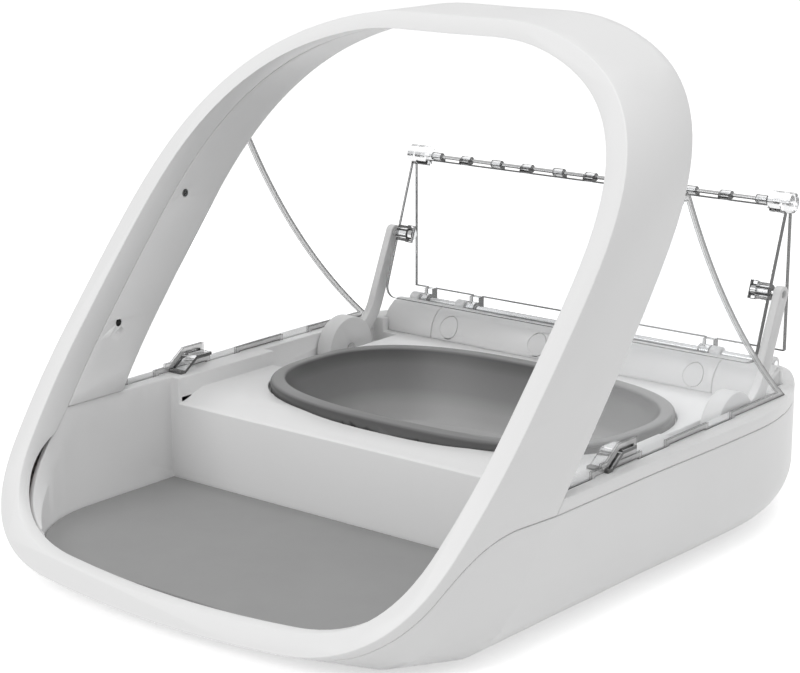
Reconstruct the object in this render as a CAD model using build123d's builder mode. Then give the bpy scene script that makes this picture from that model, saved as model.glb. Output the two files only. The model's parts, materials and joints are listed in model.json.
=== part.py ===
"""Microchip pet feeder: a white casing with a leaning hoop, a bowl under a folding clear lid.

Millimetres.  +X is the animal's left-to-right, +Y runs from the lip to the back, +Z is up.  The origin
is on the floor, at the middle of the feeder's width and length.  The lid is modelled standing open.
"""
import os
from math import atan2, ceil, cos, degrees, hypot, pi, radians, sin, sqrt, tan

from build123d import *

os.makedirs("parts", exist_ok=True)

# ---------------------------------------------------------------------------------------------
# Driving dimensions
# ---------------------------------------------------------------------------------------------
# casing
body_width = 230.0            # over the widest part of the base
body_length = 316.0           # lip to back
overall_height = 198.2        # floor to the top of the hoop
casing_wall = 2.4             # moulded wall of every casing part
foot_height = 2.0             # what the rubber feet lift the casing by
corner_radius = 19.0          # rounding between the sides and the underside
rear_corner_radius = 40.0     # rounding between the back and the underside
seam_height = 46.0            # joint between the base and the parts above it
rail_height = 51.1            # top of the side rails
deck_height = 45.0            # flat deck round the bowl
blend_y = -45.0               # where the front of the base meets the straight part of its sides
blend_half_width = 113.0      # half width there
round_start_y = 50.0          # where the rounded back of the plan begins
back_radius = 150.0           # plan radius across the middle of the back
back_slope_start = 112.0      # where the top begins to fall towards the back
back_slope_radius = 68.0
fit_gap = 0.3                 # seam between casing parts, and between parts that lie in each other

# hoop
hoop_lean = 49.4              # degrees between the hoop's plane and the floor
hoop_half_width = 111.0
hoop_depth = 43.0             # front face to rear face, measured level
hoop_band = 8.2               # thickness of the band, measured in the hoop's plane
lip_height = 4.6              # underside of the hoop at the lip
hoop_spread = 1.8             # how much wider each side is at the rear face, low down
bulge_depth = 20.0            # where the base has swelled most of the way out from the hoop's front
face_thickness = 2.5          # front and rear walls of the hoop, measured level
liner_wall = 2.2              # inner wall of the hoop, and walls of the eating bay
hoop_seam_depth = 14.0        # front shell's inner wall, measured level
lip_seam_depth = 6.0          # front shell's depth round the lip
seam_bend_radius = 45.0       # bend in the outer seam where it turns down to the lip

# eating bay and mat
bay_half_width = 99.6
bay_back_y = -48.1
bay_floor = 7.5
bay_front_radius = 52.0
bay_corner_radius = 4.0
mat_thickness = 2.0
mat_gap = 0.6
mat_front_y = -143.5          # leaves the mat room to be lifted past the leaning lip
bevel_height = 4.5            # the sloping edge between the bay's back wall and the deck
deck_front_y = -34.0

# deck, rails and pockets
shoulder_half_width = 95.3    # between the raised shoulders beside the bowl
pocket_half_width = 101.0     # between the rails where the lid's arms lie
pocket_inner_x = 87.5
pocket_front_y = 9.0
pocket_back_y = 82.0
pocket_floor = 40.0
hub_slot_front_y = 41.0
hub_slot_back_y = 80.0
hub_slot_inner_x = 91.5
deck_back_y = 86.0
deck_end_y = 98.5             # seam between the deck and the rear cover

# hinge cover behind the bowl
ridge_half_width = 98.0
ridge_split_x = 71.35
ridge_back_y = 98.3
ridge_top = 58.3
ridge_wall = 2.0
plug_radius = 4.5
plug_height = 50.9
plug_xs = (-62.1, -14.4, 14.4, 62.1)

# side windows and the clips at their front
window_inner_x = 105.3
window_thickness = 2.0
window_top_y = 8.0
window_top_z = 142.0
window_mid_y = 43.0
window_mid_z = 90.5
window_end_y = 83.5
tab_depth = 3.0
tab_spans = ((-68.6, -49.1), (-21.4, -1.2), (23.8, 44.8))
keeper_inner_x = 98.6
keeper_outer_x = 108.8
keeper_thickness = 1.2
keeper_ys = (-43.0, -40.5, -33.5, -25.0)   # foot, start and end of the slope, tip
keeper_top = 57.2

# bowl
bowl_half_width = 84.7
bowl_half_length = 54.7
bowl_centre_y = 18.6
bowl_power = 2.67             # how square the bowl is: 2 is an ellipse
bowl_rim_top = 48.3
bowl_rim_height = 5.8
bowl_side_rim = 4.6
bowl_end_rim = 6.6
bowl_floor_height = 17.5
bowl_wall = 2.0
bowl_floor_half_width = 66.0
bowl_floor_half_length = 37.0
bowl_gap = 0.8
bowl_rim_drop = 1.6           # how far the wall steps in under the rim
dimple_half_width = 22.0
dimple_half_length = 9.0
dimple_depth = 0.8
dimple_x = 30.0

# folding lid
lid_hinge_y = 101.5
lid_hinge_z = 57.5
panel_thickness = 2.2
panel_half_width = 94.2
rear_panel_reach = 65.5       # hinge to hinge, along the panel
rear_panel_offset = 3.1       # the panel stands this far outside its lower hinge
front_panel_reach = 65.6
front_panel_open = 18.93      # degrees from straight down, lid open
arm_pin_reach = 36.2          # middle hinge to arm pin, along the front panel
lid_pin_radius = 1.5
knuckle_radius = 2.9
mid_pin_radius = 0.8
mid_knuckle_radius = 1.7
end_knuckle_radius = 4.1
leaf_offset = 1.2             # how far each panel stands outside the middle hinge's axis
knuckle_pitch = 16.4
knuckle_length = 5.0
turning_gap = 0.06            # radial play of a pin in its bore
side_gap = 0.35               # between parts that turn past each other

# lid arms and drive
arm_axle_y = 56.5
hub_radius = 14.2
hub_inner_x = 92.4
arm_inner_x = 96.6
arm_outer_x = 100.1
arm_half_width = 3.2
axle_radius = 2.5
gear_module = 1.0
hub_teeth = 26
pinion_teeth = 16
pinion_direction = -38.0      # degrees, from the arm's axle to the drive shaft
tooth_play = 0.30             # backlash cut from each tooth, at the pitch circle
shaft_radius = 3.0

# batteries
cell_radius = 13.1
cell_length = 50.0
cell_height = 23.8
cell_front_y = 84.0
cell_pitch = 27.6
tray_wall = 1.6

# electronics and controls
sensor_places = ((-33.7, 124.3), (-72.8, 78.2))   # (y, z) on both legs of the hoop
sensor_radius = 1.5
sensor_gap = 0.1
sensor_inner_x = 102.6
sensor_outer_x = 107.6
coil_outer_inset = 3.1        # from the hoop's outside, in its plane
coil_width = 2.3
coil_front_depth = 2.8
coil_depth = 2.6
button_x = 14.0
button_y = 118.0
button_radius = 4.5
button_flange_radius = 5.5
button_flange_height = 1.0
button_gap = 0.2
button_stand = 0.8            # how far a button stands above the cover
button_travel = 1.0
lamp_radius = 1.5
screw_grip = 8.0              # how far the case screws reach into the upper posts
arm_axle_z = 42.75

# ---------------------------------------------------------------------------------------------
# Values worked out from them
# ---------------------------------------------------------------------------------------------
half_width = body_width / 2
back_y = body_length / 2
lean_run = 1 / tan(radians(hoop_lean))           # level run of the hoop for each mm of height
lean_sin = sin(radians(hoop_lean))
front_y = -body_length / 2 - lip_height * lean_run   # hoop's front plane at floor level
section_top = lip_height + 75.1                  # height at which the body's sections are closed
beyond = 2.0                                     # how far a cutting form reaches past what it cuts


def hoop_plane(depth):
    """Plane parallel to the hoop's front face, a level distance behind it."""
    lean = radians(hoop_lean)
    return Plane(origin=(0, front_y + depth, 0), x_dir=(1, 0, 0), z_dir=(0, -sin(lean), cos(lean)))


def between(a, b, share):
    """Outline part of the way from one outline to another."""
    return [(p[0] + (q[0] - p[0]) * share, p[1] + (q[1] - p[1]) * share) for p, q in zip(a, b)]


def loop_outline(depth, swelled):
    """Right half of the hoop's outer outline as (x, height), from the lip round to the top."""
    w = hoop_half_width
    top = overall_height
    crown = [(w - 6.4, top - 44.5), (w - 32, top - 14.9), (w - 71, top - 1.1), (0, top)]
    lip = lip_height
    low = foot_height
    front = [(0, lip), (w - 56, lip + 2.1), (w - 20, lip + 13.6), (w - 5.4, lip + 37.9)]
    middle = [(0, low + 0.4), (w - 31, low + 1.2), (w - 11, low + 11), (w - 2, low + 34)]
    rear = [(0, low), (w - 19, low + 0.3), (w - 3.5, low + 7), (w + 1.2, low + 24)]
    front += [(w - 0.6, section_top), (w, section_top + 34.1)] + crown
    middle += [(w + 0.4, section_top), (w + 0.4, section_top + 34.1)] + crown
    rear += [(w + hoop_spread, section_top), (w + 1, section_top + 34.1)] + crown
    if not swelled or depth <= 0:
        return front
    if depth <= bulge_depth:
        return between(front, middle, depth / bulge_depth)
    if depth <= hoop_depth:
        return between(middle, rear, (depth - bulge_depth) / (hoop_depth - bulge_depth))
    return rear


def mean_rate(before, after, length_before, length_after):
    """Rate of change at a point between two stretches, which never overshoots either of them."""
    if before * after <= 0:
        return 0.0
    w1 = 2 * length_after + length_before
    w2 = length_after + 2 * length_before
    return (w1 + w2) / (w1 / before + w2 / after)


def inset_outline(depth, inset, swelled):
    """The outline in the hoop's own plane, moved inwards, with the direction it runs in at each point."""
    points = [(x, z / lean_sin) for x, z in loop_outline(depth, swelled)]
    last = len(points) - 1
    moved = []
    directions = []
    for i, (x, y) in enumerate(points):
        if i == 0:
            run = (1.0, 0.0)
        elif i == last:
            run = (-1.0, 0.0)
        else:
            (x0, y0), (x1, y1) = points[i - 1], points[i + 1]
            a = hypot(x - x0, y - y0)
            b = hypot(x1 - x, y1 - y)
            run = (
                mean_rate((x - x0) / a, (x1 - x) / b, a, b),
                mean_rate((y - y0) / a, (y1 - y) / b, a, b),
            )
        length = hypot(*run)
        run = (run[0] / length, run[1] / length)
        directions.append(run)
        moved.append((x - run[1] * inset, y + run[0] * inset))
    return moved, directions


def curve_on(plane, points, runs, first, last):
    """Smooth curve through part of an outline, laid on a plane."""
    ends = [Vector(*runs[first]), Vector(*runs[last])]
    return plane * Edge.make_spline([Vector(*p) for p in points[first:last + 1]], tangents=ends)


def hoop_half(depth, inset, swelled):
    """Right half of the hoop's outline as four curves."""
    points, runs = inset_outline(depth, inset, swelled)
    plane = hoop_plane(depth)
    return [curve_on(plane, points, runs, i, j) for i, j in ((0, 1), (1, 3), (3, 4), (4, len(points) - 1))]


def low_half(depth, inset, swelled=True):
    """Lower part of the hoop's right half, closed by a level line: a section of the base."""
    points, runs = inset_outline(depth, inset, swelled)
    plane = hoop_plane(depth)
    level = plane * Edge.make_line(points[4], (0, points[4][1]))
    return [curve_on(plane, points, runs, i, j) for i, j in ((0, 1), (1, 3), (3, 4))] + [level]


def upright_half(y, side, floor, radius, top):
    """Right half of an upright section with a rounded lower corner, in the same four lines."""
    slack = radius * (1 - sin(radians(45)))
    return [
        Edge.make_line((0, y, floor), (side - radius, y, floor)),
        Edge.make_three_point_arc(
            (side - radius, y, floor), (side - slack, y, floor + slack), (side, y, floor + radius)
        ),
        Edge.make_line((side, y, floor + radius), (side, y, top)),
        Edge.make_line((side, y, top), (0, y, top)),
    ]


def ruled_solid(halves):
    """Solid through matched right halves, joined by straight lines and mirrored to the left."""
    rings = [half + [curve.mirror(Plane.YZ) for curve in half] for half in halves]
    faces = [Face(Wire.combine(ring)[0]) for ring in (rings[0], rings[-1])]
    for near, far in zip(rings, rings[1:]):
        faces += [Face.make_surface_from_curves(a, b) for a, b in zip(near, far)]
    return Solid(Shell(faces))


def hoop_block(inset, near, far, swelled=True):
    """Solid inside the hoop's outline, between two depths behind its front face."""
    depths = [near, far]
    if swelled:
        depths += [d for d in (0, bulge_depth, hoop_depth) if near < d < far]
    return ruled_solid([hoop_half(depth, inset, swelled) for depth in sorted(depths)])


def side_prism(outline, x0, x1):
    """Prism along X, from an outline in (y, z)."""
    with BuildPart() as prism:
        with BuildSketch(Plane.YZ.offset(min(x0, x1))):
            with BuildLine():
                Polyline(*outline, close=True)
            make_face()
        extrude(amount=abs(x1 - x0))
    return prism.part


def block(x0, x1, y0, y1, z0, z1):
    """Plain block between two corners."""
    with BuildPart() as solid:
        with Locations(((x0 + x1) / 2, (y0 + y1) / 2, (z0 + z1) / 2)):
            Box(abs(x1 - x0), abs(y1 - y0), abs(z1 - z0))
    return solid.part


def round_bar(radius, x0, x1, y, z):
    """Cylinder along X."""
    with BuildPart() as bar:
        with BuildSketch(Plane.YZ.offset(min(x0, x1))):
            with Locations((y, z)):
                Circle(radius)
        extrude(amount=abs(x1 - x0))
    return bar.part


def upright_bar(radius, x, y, z0, z1):
    """Cylinder standing up."""
    with BuildPart() as bar:
        with BuildSketch(Plane.XY.offset(z0)):
            with Locations((x, y)):
                Circle(radius)
        extrude(amount=z1 - z0)
    return bar.part


def oval_points(a, b, centre_y, power=bowl_power, steps=8):
    """Points of a squared oval, worked out from its formula."""
    points = []
    for i in range(4 * steps):
        angle = i * pi / (2 * steps)
        c, s = cos(angle), sin(angle)
        x = a * abs(c) ** (2 / power) * (1 if c >= 0 else -1)
        y = b * abs(s) ** (2 / power) * (1 if s >= 0 else -1)
        points.append((x, centre_y + y))
    return points


def oval_face(a, b, centre_y, z):
    """Squared oval at a height."""
    with BuildSketch(Plane.XY.offset(z)) as face:
        with BuildLine():
            Spline(oval_points(a, b, centre_y), periodic=True)
        make_face()
    return face.sketch


def oval_prism(a, b, z0, z1):
    """Upright wall of a squared oval round the bowl's centre."""
    with BuildPart() as prism:
        add(oval_face(a, b, bowl_centre_y, z0))
        extrude(amount=z1 - z0)
    return prism.part


def oval_bowl(a0, b0, z0, a1, b1, z1):
    """Sloping wall between two squared ovals round the bowl's centre."""
    with BuildPart() as cone:
        add(oval_face(a0, b0, bowl_centre_y, z0))
        add(oval_face(a1, b1, bowl_centre_y, z1))
        loft(ruled=True)
    return cone.part


# ---------------------------------------------------------------------------------------------
# Forms that several casing parts share
# ---------------------------------------------------------------------------------------------
def corner_end(side, radius, turn):
    """Where the plan's corner arc ends."""
    return side - radius + radius * cos(radians(turn)), round_start_y + radius * sin(radians(turn))


def rear_solid(inset):
    """Straight and rounded part of the casing's form, behind the place where its front ends."""
    side = half_width - inset
    front_side = blend_half_width - inset
    length = back_y - round_start_y
    gap = half_width ** 2 + length ** 2
    turn_radius = (2 * length * back_radius - gap) / (2 * (back_radius - half_width))
    turn = degrees(atan2(length - back_radius, turn_radius - half_width)) + 180
    end = back_y - inset
    floor = foot_height + inset
    middle = ((front_side + side) / 2, (blend_y + round_start_y) / 2)
    with BuildPart() as rear:
        with BuildSketch(Plane.XY.offset(floor)):
            with BuildLine():
                Line((0, blend_y), (front_side, blend_y))
                TangentArc((front_side, blend_y), middle, tangent=(0, 1))
                TangentArc((side, round_start_y), middle, tangent=(0, -1))
                JernArc((side, round_start_y), (0, 1), turn_radius - inset, turn)
                TangentArc((0, end), corner_end(side, turn_radius - inset, turn), tangent=(1, 0))
                mirror(about=Plane.YZ)
            make_face()
        extrude(amount=section_top - floor)
        bottom = rear.faces().sort_by(Axis.Z)[0].edges()
        fillet([e for e in bottom if e.center().Y > blend_y + 1], corner_radius - inset)
    return rear.part


def side_profile(inset):
    """Prism with the casing's outline from the side: level top, falling back, rounded rear corner."""
    top = rail_height - inset
    floor = foot_height + inset
    end = back_y - inset
    radius = back_slope_radius - inset
    centre_z = rail_height - back_slope_radius
    corner = rear_corner_radius - inset

    def slope(y):
        return centre_z + sqrt(radius ** 2 - (y - back_slope_start) ** 2)

    middle_y = (back_slope_start + end) / 2
    with BuildPart() as profile:
        with BuildSketch(Plane.YZ.offset(-half_width - beyond)):
            with BuildLine():
                Line((front_y - beyond, floor - 3), (front_y + 60, floor - 3))
                Line((front_y + 60, floor - 3), (front_y + 60, floor))
                Line((front_y + 60, floor), (end - corner, floor))
                JernArc(start=(end - corner, floor), tangent=(1, 0), radius=corner, arc_size=70)
                joint = (end - corner + corner * sin(radians(70)), floor + corner - corner * cos(radians(70)))
                Line(joint, (end, slope(end)))
                ThreePointArc((end, slope(end)), (middle_y, slope(middle_y)), (back_slope_start, top))
                Line((back_slope_start, top), (front_y - beyond, top))
                Line((front_y - beyond, top), (front_y - beyond, floor - 3))
            make_face()
        extrude(amount=body_width + 2 * beyond)
    return profile.part


def body_solid(inset):
    """The casing's outer form up to the rails, or the same form moved inwards."""
    halves = [low_half(depth, inset) for depth in (0, bulge_depth, hoop_depth)]
    side = blend_half_width - inset
    halves.append(upright_half(blend_y, side, foot_height + inset, corner_radius - inset, section_top))
    with BuildPart() as body:
        add(ruled_solid(halves))
        add(rear_solid(inset))
        add(side_profile(inset), mode=Mode.INTERSECT)
    return body.part


def plane_y(depth, z):
    """Where a plane parallel to the hoop's front stands at a height."""
    return front_y + depth + z * lean_run


def below_seam(gap):
    """Everything below and behind the seam round the base, which turns down to the lip at the front."""
    level = seam_height + gap
    depth = lip_seam_depth - gap
    bend = seam_bend_radius * tan(radians(hoop_lean) / 2)
    corner_y = plane_y(depth, level)
    low_z = -20.0
    with BuildPart() as region:
        with BuildSketch(Plane.YZ.offset(-half_width - beyond)):
            with BuildLine():
                Line((back_y + beyond, level), (corner_y + bend, level))
                arc = JernArc((corner_y + bend, level), (-1, 0), seam_bend_radius, hoop_lean)
                Line(arc @ 1, (plane_y(depth, low_z), low_z))
                Line((plane_y(depth, low_z), low_z), (back_y + beyond, low_z))
                Line((back_y + beyond, low_z), (back_y + beyond, level))
            make_face()
        extrude(amount=body_width + 2 * beyond)
    return region.part


def behind_liner_edge(gap):
    """Everything behind the edge of the hoop's inner wall, below the rails: the eating bay's walls."""
    high = rail_height
    low = -20.0
    slant = (hoop_seam_depth - lip_seam_depth) / (rail_height - lip_height)
    low_depth = lip_seam_depth + slant * (low - lip_height)
    start = (plane_y(hoop_seam_depth + gap, high), high)
    end = (plane_y(low_depth + gap, low), low)
    return side_prism([start, end, (back_y, low), (back_y, high)], -half_width - beyond, half_width + beyond)


def behind_plane(depth, z0, z1):
    """Everything behind a plane parallel to the hoop's front, between two heights."""
    far = back_y + beyond
    outline = [(plane_y(depth, z0), z0), (far, z0), (far, z1), (plane_y(depth, z1), z1)]
    return side_prism(outline, -half_width - beyond, half_width + beyond)


def one_of_pair(part, side):
    """A right-hand part, or its mirror image on the left."""
    with BuildPart() as placed:
        if side > 0:
            add(part)
        else:
            mirror(part, about=Plane.YZ)
    return placed.part


sides = (("left", -1), ("right", 1))
outer_form = body_solid(0)
inner_form = body_solid(casing_wall)
clear_form = body_solid(casing_wall + fit_gap)

# ---------------------------------------------------------------------------------------------
# Base: the tub that everything stands in
# ---------------------------------------------------------------------------------------------
case_screw_places = ((84.0, -28.0), (66.0, 118.0))     # one on each side
post_radius = 4.0
screw_radius = 1.5
screw_head_radius = 2.8
screw_head_height = 2.2
screw_well_depth = 10.0
thread_clearance = 0.05
post_tops = (34.0, 40.0)
door_inner_x = 3.0
door_outer_x = 55.0
door_front_y = cell_front_y
door_back_y = cell_front_y + cell_length

with BuildPart() as base_shell:
    add(outer_form)
    add(inner_form, mode=Mode.SUBTRACT)
    add(below_seam(0), mode=Mode.INTERSECT)
    for (x, y), top in zip(case_screw_places, post_tops):
        for side in (-1, 1):
            add(upright_bar(post_radius, side * x, y, foot_height + casing_wall / 2, top))
            add(upright_bar(screw_head_radius + fit_gap, side * x, y, 0, foot_height + screw_well_depth),
                mode=Mode.SUBTRACT)
            add(upright_bar(screw_radius + thread_clearance, side * x, y, 0, top + 1), mode=Mode.SUBTRACT)
    for side in (-1, 1):
        add(block(side * (door_inner_x - fit_gap), side * (door_outer_x + fit_gap),
                  door_front_y - fit_gap, door_back_y + fit_gap, 0, cell_height), mode=Mode.SUBTRACT)
base_shell.part.label = "base_shell"
export_step(base_shell.part, "parts/base_shell.step")

for name, side in sides:
    with BuildPart() as battery_door:
        add(block(side * door_inner_x, side * door_outer_x, door_front_y, door_back_y, 0, cell_height))
        add(outer_form, mode=Mode.INTERSECT)
        add(inner_form, mode=Mode.SUBTRACT)
    battery_door.part.label = f"battery_door_{name}"
    export_step(battery_door.part, f"parts/battery_door_{name}.step")

# ---------------------------------------------------------------------------------------------
# Deck: eating bay, bowl well, pockets for the lid's arms, and the side rails
# ---------------------------------------------------------------------------------------------
bay_front_y = -148.0
bay_plan_half_width = 99.2
deck_plate = 2.2              # thickness of the deck's flat parts
rail_under = rail_height - 2.2  # underside of the rails' top wall
above_deck = 60.0             # height that the cuts from above start at
hub_slot_depth = 5.0          # how far the slots for the arms' gears go through the pockets' floors


def bay_plan(grow, floor):
    """Upright prism with the bay's plan: square at the back, well rounded at the front."""
    half_x = bay_plan_half_width + grow
    radius = bay_front_radius + grow
    front = bay_front_y - grow
    with BuildPart() as prism:
        with BuildSketch(Plane.XY.offset(floor)):
            with BuildLine():
                Line((0, bay_back_y + grow), (half_x, bay_back_y + grow))
                Line((half_x, bay_back_y + grow), (half_x, front + radius))
                JernArc((half_x, front + radius), (0, -1), radius, -90)
                Line((half_x - radius, front), (0, front))
                mirror(about=Plane.YZ)
            make_face()
        extrude(amount=section_top - floor)
    return prism.part


def bay_form(grow):
    """The bay's hollow, or the same form grown by its wall."""
    floor = bay_floor - grow
    front = low_half(0, hoop_band - grow, False)
    radius = bay_corner_radius + grow
    back = upright_half(bay_back_y + grow, bay_half_width + grow, floor, radius, section_top)
    with BuildPart() as hollow:
        add(ruled_solid([front, back]))
        add(bay_plan(grow, floor))
    return hollow.part


rim_a = bowl_half_width
rim_b = bowl_half_length
throat_a = rim_a - bowl_side_rim + bowl_wall          # outside of the bowl's wall under its flange
throat_b = rim_b - bowl_end_rim + bowl_wall
seat_z = bowl_rim_top - bowl_rim_height
bay_hollow = bay_form(0)

with BuildPart() as inside_base:
    add(outer_form)
    add(block(-half_width, half_width, front_y, back_y, seam_height + fit_gap, rail_height),
        mode=Mode.INTERSECT)
    add(clear_form)

with BuildPart() as under_rails:
    add(inner_form)
    add(block(-half_width, half_width, front_y, back_y, 0, rail_under), mode=Mode.INTERSECT)

with BuildPart() as deck_walls:
    add(bay_form(liner_wall))
    add(block(-shoulder_half_width - deck_plate, shoulder_half_width + deck_plate, bay_back_y,
              deck_end_y - fit_gap, deck_height - deck_plate, rail_height))
    # the plate follows the sloping front edge down to the bay's back wall
    add(side_prism([(bay_back_y, deck_height - bevel_height - deck_plate),
                    (deck_front_y, deck_height - deck_plate), (deck_front_y, deck_height),
                    (bay_back_y, deck_height)], -shoulder_half_width, shoulder_half_width))
    for side in (-1, 1):
        add(block(side * (pocket_inner_x - deck_plate), side * (pocket_half_width + deck_plate),
                  pocket_front_y - deck_plate, pocket_back_y + deck_plate,
                  pocket_floor - deck_plate, rail_height))
        add(block(side * shoulder_half_width, side * (ridge_half_width + deck_plate), pocket_back_y,
                  deck_end_y - fit_gap, deck_height - deck_plate, rail_height))
    well_grow = bowl_gap + deck_plate
    add(oval_prism(rim_a + well_grow, rim_b + well_grow, seat_z - deck_plate, deck_height))
    add(oval_bowl(throat_a + well_grow, throat_b + well_grow, seat_z, bowl_floor_half_width + well_grow,
                  bowl_floor_half_length + well_grow, bowl_floor_height - well_grow))
    add(behind_liner_edge(fit_gap), mode=Mode.INTERSECT)
    add(inside_base.part, mode=Mode.INTERSECT)

with BuildPart() as deck:
    # side rails
    add(outer_form)
    add(behind_plane(hoop_depth + fit_gap, seam_height + fit_gap, rail_height), mode=Mode.INTERSECT)
    add(block(-half_width, half_width, front_y, deck_end_y, 0, rail_height), mode=Mode.INTERSECT)
    add(under_rails.part, mode=Mode.SUBTRACT)
    # walls of the bay and of the pockets, kept inside the base
    add(deck_walls.part)
    # hollows
    add(bay_hollow, mode=Mode.SUBTRACT)
    add(side_prism([(bay_back_y - 1, deck_height - bevel_height), (bay_back_y, deck_height - bevel_height),
                    (deck_front_y, deck_height), (deck_back_y + beyond, deck_height),
                    (deck_back_y + beyond, above_deck), (bay_back_y - 1, above_deck)],
                   -shoulder_half_width, shoulder_half_width), mode=Mode.SUBTRACT)
    add(block(-ridge_half_width - fit_gap, ridge_half_width + fit_gap, deck_back_y - fit_gap, deck_end_y,
              deck_height, above_deck), mode=Mode.SUBTRACT)
    for side in (-1, 1):
        add(block(side * pocket_inner_x, side * pocket_half_width, pocket_front_y, pocket_back_y,
                  pocket_floor, above_deck), mode=Mode.SUBTRACT)
        add(block(side * hub_slot_inner_x, side * pocket_half_width, hub_slot_front_y, hub_slot_back_y,
                  pocket_floor - hub_slot_depth, above_deck), mode=Mode.SUBTRACT)
    add(oval_prism(rim_a + bowl_gap, rim_b + bowl_gap, seat_z, deck_height + 10), mode=Mode.SUBTRACT)
    add(oval_bowl(throat_a + bowl_gap, throat_b + bowl_gap, seat_z,
                  bowl_floor_half_width + bowl_gap, bowl_floor_half_length + bowl_gap,
                  bowl_floor_height - bowl_gap), mode=Mode.SUBTRACT)
    # screw posts, arm axle holes and the slots for the windows' tabs
    for side in (-1, 1):
        x, y = case_screw_places[0]
        add(upright_bar(post_radius, side * x, y, post_tops[0] + fit_gap, deck_height - deck_plate / 2))
        add(upright_bar(screw_radius + thread_clearance, side * x, y, 0, post_tops[0] + screw_grip),
            mode=Mode.SUBTRACT)
        add(round_bar(axle_radius + turning_gap, side * pocket_inner_x, side * (pocket_half_width + 5),
                      arm_axle_y, arm_axle_z), mode=Mode.SUBTRACT)
        for y0, y1 in tab_spans:
            add(block(side * (window_inner_x - fit_gap), side * (window_inner_x + window_thickness + fit_gap),
                      y0 - fit_gap, y1 + fit_gap, rail_under - 1, rail_height + 1), mode=Mode.SUBTRACT)
deck.part.label = "deck"
export_step(deck.part, "parts/deck.step")

with BuildPart() as rear_cover:
    add(outer_form)
    add(inner_form, mode=Mode.SUBTRACT)
    add(block(-half_width, half_width, deck_end_y, back_y, seam_height + fit_gap, rail_height),
        mode=Mode.INTERSECT)
    x, y = case_screw_places[1]
    for side in (-1, 1):
        add(upright_bar(post_radius, side * x, y, post_tops[1] + fit_gap, rail_under))
        add(upright_bar(screw_radius + thread_clearance, side * x, y, 0, post_tops[1] + screw_grip),
            mode=Mode.SUBTRACT)
        add(upright_bar(button_radius + button_gap, side * button_x, button_y, 0, rail_height + 1),
            mode=Mode.SUBTRACT)
    add(upright_bar(lamp_radius + button_gap, 0, button_y, 0, rail_height + 1), mode=Mode.SUBTRACT)
rear_cover.part.label = "rear_cover"
export_step(rear_cover.part, "parts/rear_cover.step")

with BuildPart() as case_screws:
    for (x, y), top in zip(case_screw_places, post_tops):
        head_z = foot_height + screw_well_depth
        for side in (-1, 1):
            add(upright_bar(screw_head_radius, side * x, y, head_z - screw_head_height, head_z))
            add(upright_bar(screw_radius, side * x, y, head_z, top + screw_grip - fit_gap))
case_screws.part.label = "case_screws"
export_step(case_screws.part, "parts/case_screws.step")

# ---------------------------------------------------------------------------------------------
# Hoop: a front shell with the white face, and a liner that closes it from behind
# ---------------------------------------------------------------------------------------------
liner_inset = hoop_band - liner_wall
far = hoop_depth + beyond
opening = hoop_block(hoop_band, -beyond, far, False)
liner_outside = hoop_block(liner_inset, hoop_seam_depth, far, False)
liner_floor = rail_height + fit_gap

with BuildPart() as hoop_channel:
    add(hoop_block(casing_wall, face_thickness, far))
    add(hoop_block(liner_inset, face_thickness - 1, far, False), mode=Mode.SUBTRACT)

with BuildPart() as low_liner:
    add(hoop_block(casing_wall + 1, -beyond, far, False))
    add(behind_liner_edge(0), mode=Mode.INTERSECT)

with BuildPart() as hoop_front_shell:
    add(hoop_block(0, 0, hoop_depth))
    add(opening, mode=Mode.SUBTRACT)
    add(hoop_channel.part, mode=Mode.SUBTRACT)
    add(liner_outside, mode=Mode.SUBTRACT)
    add(below_seam(fit_gap), mode=Mode.SUBTRACT)
    add(low_liner.part, mode=Mode.SUBTRACT)
hoop_front_shell.part.label = "hoop_front_shell"
export_step(hoop_front_shell.part, "parts/hoop_front_shell.step")

with BuildPart() as rear_channel:
    add(hoop_block(casing_wall, hoop_seam_depth, hoop_depth - face_thickness))
    add(hoop_block(liner_inset, hoop_seam_depth - 1, far, False), mode=Mode.SUBTRACT)

with BuildPart() as hoop_rear_shell:
    add(hoop_block(casing_wall + fit_gap, hoop_seam_depth + fit_gap, hoop_depth))
    add(opening, mode=Mode.SUBTRACT)
    add(rear_channel.part, mode=Mode.SUBTRACT)
    add(block(-half_width, half_width, -back_y, back_y, liner_floor, overall_height + 1), mode=Mode.INTERSECT)
    for y, z in sensor_places:
        add(round_bar(sensor_radius + sensor_gap, -half_width, half_width, y, z), mode=Mode.SUBTRACT)
hoop_rear_shell.part.label = "hoop_rear_shell"
export_step(hoop_rear_shell.part, "parts/hoop_rear_shell.step")

with BuildPart() as antenna_coil:
    coil_back = coil_front_depth + coil_depth
    add(hoop_block(coil_outer_inset, coil_front_depth, coil_back, False))
    add(hoop_block(coil_outer_inset + coil_width, coil_front_depth - 1, coil_back + 1, False),
        mode=Mode.SUBTRACT)
antenna_coil.part.label = "antenna_coil"
export_step(antenna_coil.part, "parts/antenna_coil.step")

for name, side in (("ir_emitters", -1), ("ir_receivers", 1)):
    with BuildPart() as sensors:
        for y, z in sensor_places:
            add(round_bar(sensor_radius, side * sensor_inner_x, side * sensor_outer_x, y, z))
    sensors.part.label = name
    export_step(sensors.part, f"parts/{name}.step")

# ---------------------------------------------------------------------------------------------
# Hinge cover: a hollow ridge behind the bowl, in three lengths, with four round plugs
# ---------------------------------------------------------------------------------------------
ridge_end_radius = 1.5
plug_reach = 8.0
groove_width = 1.2
groove_y = 96.4
groove_half_width = 61.9
lug_spans = ((62.5, 67.5), (88.0, 93.0))


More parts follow.
